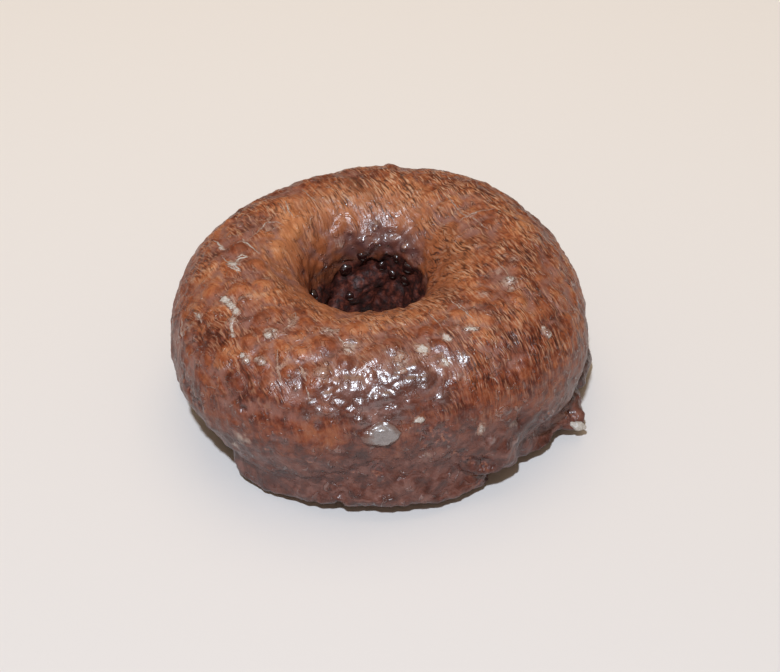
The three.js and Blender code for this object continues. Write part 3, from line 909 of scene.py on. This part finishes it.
def beaded(name, beads, sunk):
    """A piece of round drops on the cake's skin, a little uneven and sunk by a share of their radius."""
    form = bmesh.new()
    for across, down, radius in beads:
        bead_place, _ = under_pixel(even_skin, across, down)
        skin_place, skin_facing, _, _ = cake_skin.find_nearest(bead_place)
        made = bmesh.ops.create_icosphere(form, subdivisions=3, radius=radius * mm)["verts"]
        middle = skin_place - skin_facing * sunk * radius * mm
        shift = Vector((across, 0, 0))
        moved(made, lambda point: middle + point * (1 + 0.25 * noise.noise(point / (radius * mm) + shift)))
    return piece_of(form, name)


hole_beads = beaded("hole_beads", dark_drops, 0.4)
syrup_values = {"Base Color": tint(44, 20, 18), "Roughness": 0.26, "Coat Weight": 1.0, "Coat Roughness": 0.15}
hole_beads.data.materials.append(plain_material("dark_syrup", syrup_values))
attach(hole_beads, "root")

# Beads of clear glaze on the crust: small round drops where the glaze thickened on the bumps and on the
# far wall of the hole, which each catch the light. They are made like the beads of syrup.
clear_drops = [
    (241, 298, 0.85), (270, 332, 0.7), (249, 320, 0.3), (252, 317, 0.3), (244, 358, 0.45),
    (263, 361, 0.45), (239, 373, 0.3), (242, 378, 0.3), (289, 375, 0.4), (296, 389, 0.35),
    (375, 229, 0.6), (376, 243, 0.6), (351, 233, 0.4), (405, 247, 0.7), (397, 235, 0.4), (419, 234, 0.35),
    (325, 266, 0.5), (462, 302, 0.4), (474, 309, 0.45), (458, 325, 0.4), (444, 323, 0.35),
    (479, 248, 0.35), (510, 279, 0.45), (547, 333, 0.45),
]
crust_beads = beaded("crust_beads", clear_drops, 0.5)
clear_values = {
    "Base Color": tint(132, 94, 82),
    "Roughness": 0.3,
    "Coat Weight": 1.0,
    "Coat Roughness": 0.2,
    "Coat IOR": 1.8,
}
crust_beads.data.materials.append(plain_material("clear_glaze", clear_values))
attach(crust_beads, "root")

# The floor and the light: a pale plain floor, painted greyer near the eye and lighter and warmer far off as
# painted light, in a warm room. One small cool lamp stands above the eye and a little to the left, and the
# glaze mirrors it in small glints. A large warm lamp hangs overhead.
floor_half = 1.5
painted_light_near, painted_light_far = -0.16, 0.22
floor_form = bmesh.new()
bmesh.ops.create_grid(floor_form, x_segments=4, y_segments=4, size=floor_half)
floor_mesh = bpy.data.meshes.new("floor")
floor_form.to_mesh(floor_mesh)
floor_form.free()
floor = bpy.data.objects.new("floor", floor_mesh)
bpy.context.collection.objects.link(floor)
paper = plain_material("floor", {"Roughness": 0.9})
tree = paper.node_tree
far_near = add(tree, "SeparateXYZ", None, {0: add(tree, "TexCoord").outputs["Object"]}).outputs["Y"]
# Painted light: the floor's colour runs from greyer near the eye to lighter and warmer far off.
painted_floor_light = between(tree, far_near, painted_light_near, painted_light_far)
painted_floor_light = mixed(tree, painted_floor_light, tint(226, 221, 219), tint(247, 239, 231))
tree.links.new(painted_floor_light, tree.nodes["Principled BSDF"].inputs["Base Color"])
floor.data.materials.append(paper)

room_colour, room_low, room_high = (1.0, 0.80, 0.57, 1), 0.12, 0.35
world = bpy.data.worlds.new("room")
world.use_nodes = True
sky = world.node_tree
upward = add(sky, "SeparateXYZ", None, {0: add(sky, "TexCoord").outputs["Generated"]}).outputs["Z"]
range_values = {"Value": upward, "From Min": 0, "From Max": 1, "To Min": room_low, "To Max": room_high}
strength = add(sky, "MapRange", None, range_values)
sky.nodes["Background"].inputs["Color"].default_value = room_colour
sky.links.new(strength.outputs[0], sky.nodes["Background"].inputs["Strength"])
bpy.context.scene.world = world


def lamp(name, size, power, azimuth, elevation, distance, colour):
    """A square lamp that looks at the doughnut, from degrees round it and above the table."""
    light = bpy.data.lights.new(name, "AREA")
    light.size = size
    light.energy = power
    light.color = colour
    turn, rise = math.radians(azimuth), math.radians(elevation)
    out = Vector((math.sin(turn) * math.cos(rise), -math.cos(turn) * math.cos(rise), math.sin(rise)))
    facing_out = out.to_track_quat("Z", "Y").to_matrix().to_4x4()
    holder = bpy.data.objects.new(name, light)
    holder.matrix_world = Matrix.Translation(aim + out * distance) @ facing_out
    bpy.context.collection.objects.link(holder)


lamp("near_lamp", size=0.045, power=10.5, azimuth=-8, elevation=58, distance=1.1, colour=(0.78, 0.88, 1.0))
lamp("overhead", size=0.8, power=2.0, azimuth=183, elevation=74, distance=1.0, colour=(1.0, 0.78, 0.54))
bpy.context.scene.view_settings.view_transform = "Standard"
